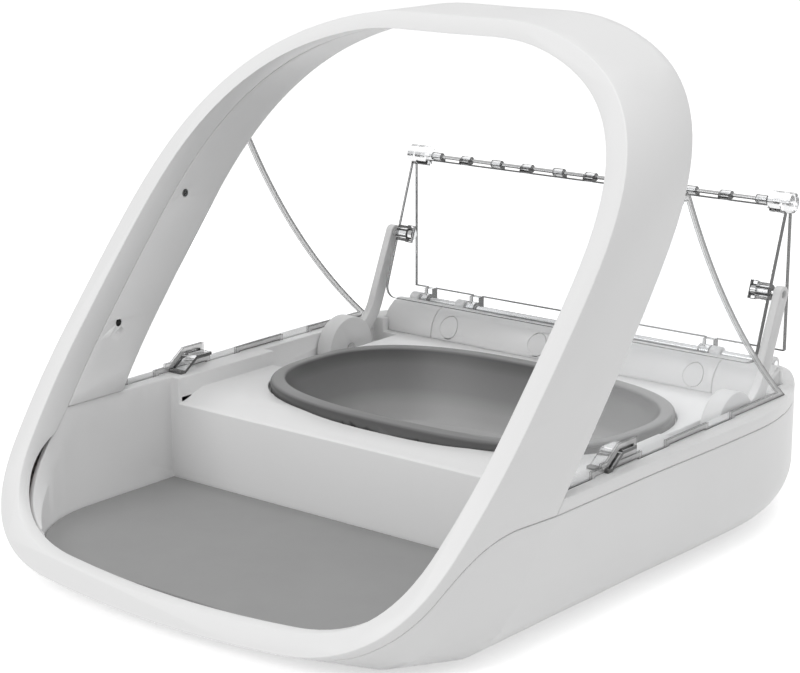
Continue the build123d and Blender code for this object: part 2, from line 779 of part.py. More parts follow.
def ridge_form(inset):
    """The ridge's section from side to side: a round front, a level top and an upright back."""
    foot = deck_height
    crest_y = ridge_back_y - 2.5
    with BuildPart() as ridge:
        with BuildSketch(Plane.YZ.offset(-ridge_half_width)):
            with BuildLine():
                front = deck_back_y + inset
                top = ridge_top - inset
                ThreePointArc((front, foot), (front + 1.4, foot + 6.8), (front + 5.2, top - 1.8))
                Line((front + 5.2, top - 1.8), (crest_y, top))
                Line((crest_y, top), (ridge_back_y - inset, top - 0.3))
                Line((ridge_back_y - inset, top - 0.3), (ridge_back_y - inset, foot))
                Line((ridge_back_y - inset, foot), (front, foot))
            make_face()
        extrude(amount=2 * ridge_half_width)
    return ridge.part


def plug_bar(radius, x):
    """Short bar along Y through the ridge's front wall."""
    with BuildPart() as bar:
        with BuildSketch(Plane.XZ.offset(-deck_back_y)):
            with Locations((x, plug_height)):
                Circle(radius)
        extrude(amount=plug_reach, both=True)
    return bar.part


def hinge_lug(x0, x1):
    """Eye that carries the lid's hinge pin, standing out from the back of the ridge."""
    with BuildPart() as lug:
        add(round_bar(knuckle_radius, x0, x1, lid_hinge_y, lid_hinge_z))
        add(block(x0, x1, ridge_back_y - ridge_wall, lid_hinge_y, lid_hinge_z - knuckle_radius, lid_hinge_z))
        add(round_bar(lid_pin_radius, x0 - 1, x1 + 1, lid_hinge_y, lid_hinge_z), mode=Mode.SUBTRACT)
    return lug.part


ridge_outside = ridge_form(0)
ridge_hollow = ridge_form(ridge_wall)

with BuildPart() as ridge_skin:
    add(ridge_outside)
    add(ridge_hollow, mode=Mode.SUBTRACT)

with BuildPart() as ridge_end_wall:
    add(ridge_outside)
    add(block(ridge_half_width - ridge_wall, ridge_half_width - 0.5, deck_back_y, ridge_back_y, deck_height,
              ridge_top - 1), mode=Mode.INTERSECT)

with BuildPart() as hinge_cover_centre:
    add(ridge_outside)
    add(ridge_hollow, mode=Mode.SUBTRACT)
    split = ridge_split_x - fit_gap / 2
    add(block(-split, split, deck_back_y, ridge_back_y, deck_height, ridge_top), mode=Mode.INTERSECT)
    add(block(-groove_half_width, groove_half_width, groove_y, groove_y + groove_width,
              ridge_top - groove_width, ridge_top + 1), mode=Mode.SUBTRACT)
    for x in plug_xs:
        add(plug_bar(plug_radius + fit_gap / 2, x), mode=Mode.SUBTRACT)
    for side in (-1, 1):
        add(hinge_lug(*sorted((side * lug_spans[0][0], side * lug_spans[0][1]))))
hinge_cover_centre.part.label = "hinge_cover_centre"
export_step(hinge_cover_centre.part, "parts/hinge_cover_centre.step")

for name, side in sides:
    with BuildPart() as right_cover:
        add(ridge_outside)
        fillet(right_cover.faces().sort_by(Axis.X)[-1].edges().filter_by(GeomType.LINE).sort_by(Axis.Z)[-2:],
               ridge_end_radius)
        add(ridge_hollow, mode=Mode.SUBTRACT)
        add(block(ridge_split_x + fit_gap / 2, ridge_half_width, deck_back_y, ridge_back_y,
                  deck_height, ridge_top), mode=Mode.INTERSECT)
        add(ridge_end_wall.part)
        add(hinge_lug(*lug_spans[1]))
    with BuildPart() as hinge_cover:
        add(one_of_pair(right_cover.part, side))
    hinge_cover.part.label = f"hinge_cover_{name}"
    export_step(hinge_cover.part, f"parts/hinge_cover_{name}.step")

with BuildPart() as ridge_plugs:
    for x in plug_xs:
        add(plug_bar(plug_radius, x))
    add(ridge_skin.part, mode=Mode.INTERSECT)
ridge_plugs.part.label = "ridge_plugs"
export_step(ridge_plugs.part, "parts/ridge_plugs.step")

# ---------------------------------------------------------------------------------------------
# Bowl and mat
# ---------------------------------------------------------------------------------------------
bowl_inside_floor = bowl_floor_height + bowl_wall + 0.5

with BuildPart() as bowl:
    add(oval_prism(rim_a, rim_b, seat_z, bowl_rim_top))
    fillet(bowl.edges().filter_by_position(Axis.Z, bowl_rim_top - 0.01, bowl_rim_top + 0.01), 1.6)
    add(oval_bowl(throat_a, throat_b, seat_z, bowl_floor_half_width, bowl_floor_half_length,
                  bowl_floor_height))
    add(oval_bowl(rim_a - bowl_side_rim, rim_b - bowl_end_rim, bowl_rim_top,
                  bowl_floor_half_width - bowl_wall, bowl_floor_half_length - bowl_wall, bowl_inside_floor),
        mode=Mode.SUBTRACT)
    for side in (-1, 1):
        with BuildSketch(Plane.XY.offset(bowl_inside_floor - dimple_depth)):
            with Locations((side * dimple_x, bowl_centre_y)):
                Ellipse(dimple_half_width, dimple_half_length)
    extrude(amount=dimple_depth + 1, mode=Mode.SUBTRACT)
bowl.part.label = "bowl"
export_step(bowl.part, "parts/bowl.step")

with BuildPart() as bay_mat:
    add(bay_plan(-mat_gap, bay_floor))
    add(block(-half_width, half_width, mat_front_y, bay_back_y, bay_floor, bay_floor + mat_thickness),
        mode=Mode.INTERSECT)
    fillet(bay_mat.edges().filter_by_position(Axis.Z, bay_floor + mat_thickness - 0.01,
                                              bay_floor + mat_thickness + 0.01), mat_thickness / 4)
bay_mat.part.label = "bay_mat"
export_step(bay_mat.part, "parts/bay_mat.step")

# ---------------------------------------------------------------------------------------------
# Side windows and the clips at their front
# ---------------------------------------------------------------------------------------------
window_foot = rail_height + 0.2
window_outer_x = window_inner_x + window_thickness


def keeper_strip(thickness, x0, x1):
    """Bent strip with a flat foot on the rail, a slope and a level tip."""
    low_z = rail_height + 0.05 + keeper_thickness / 2
    high_z = keeper_top - keeper_thickness / 2
    foot_y, slope_y, bend_y, tip_y = keeper_ys
    with BuildPart() as strip:
        with BuildSketch(Plane.YZ.offset(x0)):
            with BuildLine() as middle:
                Polyline((foot_y, low_z), (slope_y, low_z), (bend_y, high_z), (tip_y, high_z))
            trace(middle.edges(), line_width=thickness)
        extrude(amount=x1 - x0)
    return strip.part


with BuildPart() as right_window:
    with BuildSketch(Plane.YZ.offset(window_inner_x)):
        with BuildLine():
            low = (plane_y(hoop_depth + fit_gap, window_foot), window_foot)
            high = (plane_y(hoop_depth + fit_gap, window_top_z), window_top_z)
            top_end = (window_top_y, window_top_z)
            foot_end = (window_end_y, window_foot)
            Line(low, high)
            Line(high, top_end)
            ThreePointArc(top_end, (window_mid_y, window_mid_z), foot_end)
            Line(foot_end, low)
        make_face()
    extrude(amount=window_thickness)
    for y0, y1 in tab_spans:
        add(block(window_inner_x, window_outer_x, y0, y1, window_foot - tab_depth, window_foot))
    add(keeper_strip(keeper_thickness + 2 * fit_gap, window_inner_x - 1, window_outer_x + 1),
        mode=Mode.SUBTRACT)

with BuildPart() as right_keeper:
    add(keeper_strip(keeper_thickness, keeper_inner_x, keeper_outer_x))

for name, side in sides:
    with BuildPart() as side_window:
        add(one_of_pair(right_window.part, side))
    side_window.part.label = f"side_window_{name}"
    export_step(side_window.part, f"parts/side_window_{name}.step")
    with BuildPart() as lid_keeper:
        add(one_of_pair(right_keeper.part, side))
    lid_keeper.part.label = f"lid_keeper_{name}"
    export_step(lid_keeper.part, f"parts/lid_keeper_{name}.step")

# ---------------------------------------------------------------------------------------------
# Folding lid: two clear panels on two hinge pins
# ---------------------------------------------------------------------------------------------
middle_y = lid_hinge_y + rear_panel_offset
middle_z = lid_hinge_z + rear_panel_reach
panel_start = knuckle_radius + 1.9         # from the rear hinge to the rear panel
middle_start = mid_knuckle_radius + 0.5    # from the middle hinge to both panels
bore_radius = lid_pin_radius + turning_gap
mid_bore_radius = mid_pin_radius + turning_gap
hang = radians(front_panel_open)
front_plane = Plane(origin=(0, middle_y, middle_z), x_dir=(1, 0, 0), z_dir=(0, -cos(hang), sin(hang)))
rear_knuckle_spans = ((57.0, 62.1), (83.3, 87.6))
end_front_span = (86.5, 92.0)
end_rear_span = (92.35, 96.2)
knuckle_count = 11
pin_reach = 96.2
panel_corner_radius = 6.0


def knuckle_spans(first):
    """Every other knuckle along the middle hinge."""
    spans = []
    for i in range(first, knuckle_count, 2):
        x = (i - (knuckle_count - 1) / 2) * knuckle_pitch
        spans.append((x - knuckle_length / 2, x + knuckle_length / 2))
    return spans


leaf_front = middle_y + leaf_offset - panel_thickness / 2
leaf_back = middle_y + leaf_offset + panel_thickness / 2
notch_radius = end_knuckle_radius + side_gap

with BuildPart() as lid_rear_panel:
    add(block(-panel_half_width, panel_half_width, leaf_front, leaf_back, lid_hinge_z + panel_start,
              middle_z - middle_start))
    for a, b in knuckle_spans(0):
        add(round_bar(mid_knuckle_radius, a, b, middle_y, middle_z))
        add(block(a, b, leaf_front, leaf_back, middle_z - middle_start, middle_z))
    for side in (-1, 1):
        for a, b in rear_knuckle_spans:
            add(round_bar(knuckle_radius, side * a, side * b, lid_hinge_y, lid_hinge_z))
            add(block(side * a, side * b, lid_hinge_y + lid_pin_radius, leaf_back,
                      lid_hinge_z, lid_hinge_z + panel_start))
        a, b = end_front_span
        add(round_bar(notch_radius, side * (a - side_gap), side * (b + side_gap), middle_y, middle_z),
            mode=Mode.SUBTRACT)
        a, b = end_rear_span
        add(round_bar(end_knuckle_radius, side * a, side * b, middle_y, middle_z))
        add(block(side * a, side * panel_half_width, leaf_front, leaf_back,
                  middle_z - middle_start, middle_z))
    add(round_bar(bore_radius, -half_width, half_width, lid_hinge_y, lid_hinge_z), mode=Mode.SUBTRACT)
    add(round_bar(mid_bore_radius, -half_width, half_width, middle_y, middle_z), mode=Mode.SUBTRACT)
lid_rear_panel.part.label = "lid_rear_panel"
export_step(lid_rear_panel.part, "parts/lid_rear_panel.step")


def along_front(reach):
    """Point on the front panel's middle plane, a distance down from the middle hinge."""
    return middle_y - reach * sin(hang), middle_z - reach * cos(hang)


def front_slab(x0, x1, near, far, thick=panel_thickness):
    """Flat slab lying in the front panel, between two distances from the middle hinge."""
    with BuildPart() as slab:
        with BuildSketch(front_plane.offset(leaf_offset)):
            with Locations(((x0 + x1) / 2, -(near + far) / 2)):
                Rectangle(abs(x1 - x0), far - near)
        extrude(amount=thick / 2, both=True)
    return slab.part


pin_eye_radius = 3.2
pin_eye_span = (88.6, panel_half_width)
pin_head_span = (86.0, 88.3)
pin_head_radius = 2.5
pin_end_x = arm_inner_x - side_gap
pin_y, pin_z = along_front(arm_pin_reach)

with BuildPart() as lid_front_panel:
    add(front_slab(-panel_half_width, panel_half_width, middle_start, front_panel_reach))
    across = Axis(front_plane.origin, front_plane.z_dir)
    fillet(lid_front_panel.edges().filter_by(across).group_by(Axis.Z)[0], panel_corner_radius)
    for a, b in knuckle_spans(1):
        add(round_bar(mid_knuckle_radius, a, b, middle_y, middle_z))
        add(front_slab(a, b, 0, middle_start))
    for side in (-1, 1):
        a, b = end_rear_span
        add(round_bar(notch_radius, side * (a - side_gap), side * (b + side_gap), middle_y, middle_z),
            mode=Mode.SUBTRACT)
        a, b = end_front_span
        add(round_bar(end_knuckle_radius, side * a, side * b, middle_y, middle_z))
        add(front_slab(side * a, side * b, 0, middle_start))
        add(front_slab(side * (pin_head_span[0] - fit_gap), side * pin_eye_span[0],
                       arm_pin_reach - pin_head_radius - 1, arm_pin_reach + pin_head_radius + 1, 9),
            mode=Mode.SUBTRACT)
        add(round_bar(pin_eye_radius, side * pin_eye_span[0], side * pin_eye_span[1], pin_y, pin_z))
        add(round_bar(lid_pin_radius + 0.01, side * (pin_eye_span[0] - 1), side * half_width, pin_y, pin_z),
            mode=Mode.SUBTRACT)
    add(round_bar(mid_bore_radius, -half_width, half_width, middle_y, middle_z), mode=Mode.SUBTRACT)
lid_front_panel.part.label = "lid_front_panel"
export_step(lid_front_panel.part, "parts/lid_front_panel.step")

with BuildPart() as lid_rear_hinge_pin:
    add(round_bar(lid_pin_radius, -lug_spans[1][1], lug_spans[1][1], lid_hinge_y, lid_hinge_z))
lid_rear_hinge_pin.part.label = "lid_rear_hinge_pin"
export_step(lid_rear_hinge_pin.part, "parts/lid_rear_hinge_pin.step")

with BuildPart() as lid_mid_hinge_pin:
    add(round_bar(mid_pin_radius, -pin_reach, pin_reach, middle_y, middle_z))
lid_mid_hinge_pin.part.label = "lid_mid_hinge_pin"
export_step(lid_mid_hinge_pin.part, "parts/lid_mid_hinge_pin.step")

for name, side in sides:
    with BuildPart() as lid_pin:
        add(round_bar(pin_head_radius, side * pin_head_span[0], side * pin_head_span[1], pin_y, pin_z))
        add(round_bar(lid_pin_radius, side * pin_head_span[0], side * pin_end_x, pin_y, pin_z))
    lid_pin.part.label = f"lid_pin_{name}"
    export_step(lid_pin.part, f"parts/lid_pin_{name}.step")

# ---------------------------------------------------------------------------------------------
# Lid arms with their sector gears, and the drive under the deck
# ---------------------------------------------------------------------------------------------
hub_pitch = gear_module * hub_teeth / 2
pinion_pitch = gear_module * pinion_teeth / 2
centre_distance = hub_pitch + pinion_pitch
shaft_y = arm_axle_y + centre_distance * cos(radians(pinion_direction))
shaft_z = arm_axle_z + centre_distance * sin(radians(pinion_direction))
pressure = radians(20)
gear_span = (-173.0, -17.0)   # degrees round the hub that carry teeth, lid open
arm_bend = (76.5, 50.5)
arm_bend_radius = 22.0
gear_inner_x = 93.0
gear_outer_x = 100.1


def tooth_outline(teeth, centre, direction):
    """One gear tooth from involute flanks, pointing in a direction, as points in (y, z)."""
    pitch = gear_module * teeth / 2
    base = pitch * cos(pressure)
    tip = pitch + gear_module
    root = pitch - 1.25 * gear_module
    half_tooth = pi / (2 * teeth) - tooth_play / (4 * pitch)
    flank = []
    for i in range(5):
        radius = max(base, root) + (tip - max(base, root)) * i / 4
        roll = sqrt(max(radius ** 2 / base ** 2 - 1, 0))
        spread = half_tooth + (tan(pressure) - pressure) - (roll - atan2(roll, 1))
        flank.append((radius, spread))
    flank = [(root - 0.5, flank[0][1])] + flank
    polar = [(r, -a) for r, a in flank] + [(r, a) for r, a in reversed(flank)]
    turn = radians(direction)
    return [(centre[0] + r * cos(turn + a), centre[1] + r * sin(turn + a)) for r, a in polar]


def toothed_wheel(teeth, centre, directions, x0, x1):
    """Root disc and the teeth that stand on it."""
    plane = Plane.YZ.offset(min(x0, x1))
    with BuildPart() as wheel:
        with BuildSketch(plane):
            with Locations(centre):
                Circle(gear_module * teeth / 2 - 1.25 * gear_module)
        extrude(amount=abs(x1 - x0))
        with BuildSketch(plane):
            for direction in directions:
                Polygon(*tooth_outline(teeth, centre, direction), align=None)
        extrude(amount=abs(x1 - x0))
    return wheel.part


axle_place = (arm_axle_y, arm_axle_z)
shaft_place = (shaft_y, shaft_z)
hub_step = 360 / hub_teeth
first_tooth = ceil((gear_span[0] - pinion_direction) / hub_step)
last_tooth = int((gear_span[1] - pinion_direction) / hub_step)
hub_directions = [pinion_direction + k * hub_step for k in range(first_tooth, last_tooth + 1)]
pinion_step = 360 / pinion_teeth
pinion_directions = [pinion_direction + 180 + (k + 0.5) * pinion_step for k in range(pinion_teeth)]

with BuildPart() as right_arm:
    add(toothed_wheel(hub_teeth, axle_place, hub_directions, gear_inner_x, gear_outer_x))
    with BuildSketch(Plane.YZ.offset(hub_inner_x)):
        with BuildLine():
            low = radians(gear_span[1])
            high = radians(gear_span[0] + 360)
            rim = []
            for a in (low, (low + high) / 2, high):
                rim.append((arm_axle_y + hub_radius * cos(a), arm_axle_z + hub_radius * sin(a)))
            ThreePointArc(*rim)
            Line(rim[2], axle_place)
            Line(axle_place, rim[0])
        make_face()
    extrude(amount=arm_outer_x - hub_inner_x)
    with BuildSketch(Plane.YZ.offset(arm_inner_x)):
        with BuildLine() as centre_line:
            FilletPolyline(axle_place, arm_bend, (pin_y, pin_z), radius=arm_bend_radius)
        trace(centre_line.edges(), line_width=2 * arm_half_width)
        with Locations((pin_y, pin_z)):
            Circle(arm_half_width)
    extrude(amount=arm_outer_x - arm_inner_x)
    add(round_bar(axle_radius + turning_gap, 0, half_width, *axle_place), mode=Mode.SUBTRACT)
    add(round_bar(lid_pin_radius + 0.1, 0, half_width, pin_y, pin_z), mode=Mode.SUBTRACT)

bracket_x0 = pocket_half_width + deck_plate + 0.2
bracket_x1 = 109.5
bracket_size = (15.0, rail_under - 0.2 - 32.0)
bush_radius = 5.0
bush_span = (88.5, 91.5)
stand_span = (88.3, 91.7)
stand_half_width = 7.0
shaft_reach = 101.5

for name, side in sides:
    with BuildPart() as arm:
        add(one_of_pair(right_arm.part, side))
    arm.part.label = f"arm_{name}"
    export_step(arm.part, f"parts/arm_{name}.step")

    with BuildPart() as arm_axle:
        add(round_bar(axle_radius, side * hub_inner_x, side * bracket_x1, *axle_place))
    arm_axle.part.label = f"arm_axle_{name}"
    export_step(arm_axle.part, f"parts/arm_axle_{name}.step")

    with BuildPart() as arm_bracket:
        add(block(side * bracket_x0, side * bracket_x1, arm_axle_y - bracket_size[0] / 2,
                  arm_axle_y + bracket_size[0] / 2, rail_under - 0.2 - bracket_size[1], rail_under - 0.2))
        add(round_bar(axle_radius, side * (bracket_x0 - 1), side * (bracket_x1 + 1), *axle_place),
            mode=Mode.SUBTRACT)
    arm_bracket.part.label = f"arm_bracket_{name}"
    export_step(arm_bracket.part, f"parts/arm_bracket_{name}.step")

    with BuildPart() as drive_pinion:
        add(toothed_wheel(pinion_teeth, shaft_place, pinion_directions,
                          side * gear_inner_x, side * gear_outer_x))
        add(round_bar(shaft_radius + 0.02, 0, side * half_width, *shaft_place), mode=Mode.SUBTRACT)
    drive_pinion.part.label = f"drive_pinion_{name}"
    export_step(drive_pinion.part, f"parts/drive_pinion_{name}.step")

    with BuildPart() as shaft_bush:
        add(round_bar(bush_radius, side * bush_span[0], side * bush_span[1], *shaft_place))
        add(round_bar(shaft_radius + turning_gap, 0, side * half_width, *shaft_place), mode=Mode.SUBTRACT)
    shaft_bush.part.label = f"shaft_bush_{name}"
    export_step(shaft_bush.part, f"parts/shaft_bush_{name}.step")

    with BuildPart() as shaft_bracket:
        add(block(side * stand_span[0], side * stand_span[1], shaft_y - stand_half_width,
                  shaft_y + stand_half_width, foot_height + casing_wall + 0.2, shaft_z + stand_half_width))
        add(round_bar(bush_radius, 0, side * half_width, *shaft_place), mode=Mode.SUBTRACT)
    shaft_bracket.part.label = f"shaft_bracket_{name}"
    export_step(shaft_bracket.part, f"parts/shaft_bracket_{name}.step")

with BuildPart() as drive_shaft:
    add(round_bar(shaft_radius, -shaft_reach, shaft_reach, *shaft_place))
drive_shaft.part.label = "drive_shaft"
export_step(drive_shaft.part, "parts/drive_shaft.step")

gearbox_x = (-85.0, -61.0)
gearbox_y = (67.4, 85.7)
gearbox_top = 39.8
motor_x = -75.0
motor_z = 27.0
motor_radius = 11.0
motor_length = 26.0

with BuildPart() as gearbox_housing:
    add(block(*gearbox_x, *gearbox_y, foot_height + casing_wall + 0.2, gearbox_top))
    fillet(gearbox_housing.edges().filter_by(Axis.Z), 2.0)
    add(round_bar(shaft_radius + turning_gap, -half_width, half_width, *shaft_place), mode=Mode.SUBTRACT)
gearbox_housing.part.label = "gearbox_housing"
export_step(gearbox_housing.part, "parts/gearbox_housing.step")

with BuildPart() as drive_motor:
    with BuildSketch(Plane.XZ.offset(-gearbox_y[1] - 0.1)):
        with Locations((motor_x, motor_z)):
            Circle(motor_radius)
    extrude(amount=-motor_length)
    chamfer(drive_motor.edges().filter_by(GeomType.CIRCLE).sort_by(Axis.Y)[-1], 1.0)
drive_motor.part.label = "drive_motor"
export_step(drive_motor.part, "parts/drive_motor.step")

# ---------------------------------------------------------------------------------------------
# Batteries, circuit board, buttons, lamp and feet
# ---------------------------------------------------------------------------------------------
cell_xs = [(i - 1.5) * cell_pitch for i in range(4)]
tray_half_width = 58.0
tray_top = cell_height + cell_radius + 0.2 + tray_wall
contact_thickness = 0.8
contact_half_width = 5.0
contact_gap = 0.05
tray_front = cell_front_y - 0.3 - contact_thickness - 0.1
tray_back = cell_front_y + cell_length + 0.3 + contact_thickness + 0.1
board_front_y = 88.0
board_back_y = 130.0
board_half_width = 55.0
board_z = 40.0
board_thickness = 1.6
switch_height = 3.8
foot_places = ((62.0, -95.0), (68.0, 95.0))
foot_radius = 6.0
peg_radius = 2.0

with BuildPart() as battery_cells:
    for x in cell_xs:
        with BuildSketch(Plane.XZ.offset(-cell_front_y)):
            with Locations((x, cell_height)):
                Circle(cell_radius)
    extrude(amount=-cell_length)
battery_cells.part.label = "battery_cells"
export_step(battery_cells.part, "parts/battery_cells.step")

with BuildPart() as battery_tray:
    add(block(-tray_half_width, tray_half_width, tray_front - tray_wall, tray_back + tray_wall,
              foot_height, tray_top))
    add(block(-tray_half_width + tray_wall, tray_half_width - tray_wall, tray_front, tray_back,
              foot_height - 1, tray_top - tray_wall), mode=Mode.SUBTRACT)
    add(clear_form, mode=Mode.INTERSECT)
    for x in (-board_half_width + 8, board_half_width - 8):
        for y in (board_front_y + 6, board_back_y - 6):
            add(upright_bar(peg_radius, x, y, tray_top - tray_wall / 2, board_z - 0.1))
battery_tray.part.label = "battery_tray"
export_step(battery_tray.part, "parts/battery_tray.step")

with BuildPart() as battery_contacts:
    for x in cell_xs:
        for y in (tray_front + contact_gap, tray_back - contact_gap - contact_thickness):
            add(block(x - contact_half_width, x + contact_half_width, y, y + contact_thickness,
                      cell_height - contact_half_width, cell_height + contact_half_width))
battery_contacts.part.label = "battery_contacts"
export_step(battery_contacts.part, "parts/battery_contacts.step")

with BuildPart() as main_circuit_board:
    add(block(-board_half_width, board_half_width, board_front_y, board_back_y,
              board_z, board_z + board_thickness))
    fillet(main_circuit_board.edges().filter_by(Axis.Z), 2.0)
main_circuit_board.part.label = "main_circuit_board"
export_step(main_circuit_board.part, "parts/main_circuit_board.step")

switch_top = board_z + board_thickness + switch_height
button_top = rail_height + button_stand
button_foot = switch_top + button_travel + 0.1

with BuildPart() as micro_switches:
    for side in (-1, 1):
        add(block(side * button_x - 3, side * button_x + 3, button_y - 3, button_y + 3,
                  board_z + board_thickness, switch_top))
micro_switches.part.label = "micro_switches"
export_step(micro_switches.part, "parts/micro_switches.step")

for name, x in (("button_add_pet", -button_x), ("button_lid", button_x)):
    with BuildPart() as button:
        add(upright_bar(button_radius, x, button_y, button_foot, button_top))
        add(upright_bar(button_flange_radius, x, button_y, button_foot, button_foot + button_flange_height))
        fillet(button.edges().filter_by(GeomType.CIRCLE).sort_by(Axis.Z)[-1], 0.6)
    button.part.label = name
    export_step(button.part, f"parts/{name}.step")

with BuildPart() as status_lamp:
    add(upright_bar(lamp_radius, 0, button_y, board_z + board_thickness, rail_height - 0.2))
status_lamp.part.label = "status_lamp"
export_step(status_lamp.part, "parts/status_lamp.step")

with BuildPart() as rubber_feet:
    for x, y in foot_places:
        for side in (-1, 1):
            with BuildSketch(Plane.XY):
                with Locations((side * x, y)):
                    Circle(foot_radius)
    extrude(amount=foot_height)
    chamfer(rubber_feet.edges().group_by(Axis.Z)[0], 0.5)
rubber_feet.part.label = "rubber_feet"
export_step(rubber_feet.part, "parts/rubber_feet.step")
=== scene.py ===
# %% [markdown]
# # Microchip pet feeder
# A white tub carries a leaning hoop that an animal puts its head through.  Behind it a smoked bowl sits
# in a deck, with a clear lid that stands open.  The solids come from the CAD frame, in metres, with the
# floor at z = 0, and they already hold every piece.  This lesson gives them what solids leave plain: soft
# edges, painted shade on the clear sheets' edges with painted pale strips beside them, and the finishes.

# %% Load the frame
import json
from math import pi, radians

import bmesh
import bpy
from mathutils import Matrix, Vector

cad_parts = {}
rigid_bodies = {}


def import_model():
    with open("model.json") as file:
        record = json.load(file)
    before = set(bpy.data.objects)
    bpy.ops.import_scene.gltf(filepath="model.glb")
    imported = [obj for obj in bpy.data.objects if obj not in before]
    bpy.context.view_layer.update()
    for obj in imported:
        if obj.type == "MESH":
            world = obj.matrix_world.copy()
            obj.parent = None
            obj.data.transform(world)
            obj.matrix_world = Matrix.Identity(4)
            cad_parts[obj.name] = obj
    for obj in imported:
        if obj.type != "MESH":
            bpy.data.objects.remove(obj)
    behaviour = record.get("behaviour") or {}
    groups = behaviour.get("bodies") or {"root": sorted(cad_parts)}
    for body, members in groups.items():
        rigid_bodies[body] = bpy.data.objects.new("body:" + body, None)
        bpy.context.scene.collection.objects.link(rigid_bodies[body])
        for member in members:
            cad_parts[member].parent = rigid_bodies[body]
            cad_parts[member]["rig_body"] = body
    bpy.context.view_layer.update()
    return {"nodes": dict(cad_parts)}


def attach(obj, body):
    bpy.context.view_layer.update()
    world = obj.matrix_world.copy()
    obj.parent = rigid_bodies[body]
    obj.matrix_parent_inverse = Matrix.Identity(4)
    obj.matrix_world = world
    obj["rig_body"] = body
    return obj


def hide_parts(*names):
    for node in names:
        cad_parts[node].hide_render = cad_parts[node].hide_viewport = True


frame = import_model()
nodes = frame["nodes"]
bpy.ops.object.select_all(action="DESELECT")
mm = 0.001

# %% [markdown]
# ## Finishes
# A finish is a small node tree.  It could be one flat colour, but a moulding never looks like one: fine
# grain breaks up its highlights, and slow, faint clouds in its gloss show where the material flowed.  Every
# noise here reads Object coordinates, so the grain stays on the piece as the piece moves.

# %% An empty finish, and noise for it
def new_finish(name):
    """Empty material with its shader, its coordinates and its node tree."""
    material = bpy.data.materials.new(name)
    material.use_nodes = True
    tree = material.node_tree
    shader = tree.nodes["Principled BSDF"]
    coordinates = tree.nodes.new("ShaderNodeTexCoord")
    return material, tree, shader, coordinates


def noise(tree, coordinates, scale, detail, stretch=(1, 1, 1)):
    """Noise on Object coordinates; a stretch makes brushed lines."""
    mapping = tree.nodes.new("ShaderNodeMapping")
    mapping.inputs["Scale"].default_value = stretch
    texture = tree.nodes.new("ShaderNodeTexNoise")
    texture.inputs["Scale"].default_value = scale
    texture.inputs["Detail"].default_value = detail
    tree.links.new(coordinates.outputs["Object"], mapping.inputs["Vector"])
    tree.links.new(mapping.outputs["Vector"], texture.inputs["Vector"])
    return texture


# %% [markdown]
# A Map Range node carries a value to a socket.  Noise stays mostly between 0.35 and 0.65, so those two
# become the ends of the range that the socket gets.

# %% From noise to sockets
noise_low, noise_high = 0.35, 0.65


def remap(tree, value, ends, results, interpolation="LINEAR"):
    """Output that runs between two results as a value runs between two ends."""
    band = tree.nodes.new("ShaderNodeMapRange")
    band.interpolation_type = interpolation
    band.inputs["From Min"].default_value, band.inputs["From Max"].default_value = ends
    band.inputs["To Min"].default_value, band.inputs["To Max"].default_value = results
    tree.links.new(value, band.inputs["Value"])
    return band.outputs["Result"]


def vary_gloss(tree, texture, shader, low, high):
    """Lets the noise move the roughness between two values."""
    gloss = remap(tree, texture.outputs["Fac"], (noise_low, noise_high), (low, high))
    tree.links.new(gloss, shader.inputs["Roughness"])


def two_tones(tree, texture, shader, first, second):
    """Lets the noise blend the colour between two near tones."""
    mix = tree.nodes.new("ShaderNodeMix")
    mix.data_type = "RGBA"
    mix.inputs["A"].default_value = (*first, 1)
    mix.inputs["B"].default_value = (*second, 1)
    tree.links.new(texture.outputs["Fac"], mix.inputs["Factor"])
    tree.links.new(mix.outputs["Result"], shader.inputs["Base Color"])


def relief(tree, height, shader, depth):
    """Bump from a height between 0 and 1; the depth is in metres."""
    bump = tree.nodes.new("ShaderNodeBump")
    bump.inputs["Strength"].default_value = 1.0
    bump.inputs["Distance"].default_value = depth
    tree.links.new(height, bump.inputs["Height"])
    tree.links.new(bump.outputs["Normal"], shader.inputs["Normal"])


# %% One maker for every moulded or metal finish
cloud_scale = 35
smoother, rougher = -0.03, 0.04


def moulded(name, colour, tint, roughness, grain_scale=2600, grain_depth=0.01 * mm, metal=0.0,
            specular=0.5, stretch=(1, 1, 1)):
    """Finish with a grain, slow clouds in its gloss and a second near tone."""
    material, tree, shader, coordinates = new_finish(name)
    clouds = noise(tree, coordinates, cloud_scale, 3)
    fine = noise(tree, coordinates, grain_scale, 2, stretch)
    two_tones(tree, clouds, shader, colour, tint)
    vary_gloss(tree, clouds, shader, roughness + smoother, roughness + rougher)
    relief(tree, fine.outputs["Fac"], shader, grain_depth)
    shader.inputs["Metallic"].default_value = metal
    shader.inputs["Specular IOR Level"].default_value = specular
    material.diffuse_color = (*colour, 1)
    return material


def grey(value, warm=0.0):
    """Near-neutral colour, a little warm or cold."""
    return (value * (1 + warm), value, value * (1 - warm))


# %% [markdown]
# The casing is satin white, the arms are a pale grey, and the mat is soft grey rubber with a coarser grain.
# A rubber's grain could be modelled, but at this size relief in the finish looks the same and costs
# nothing.

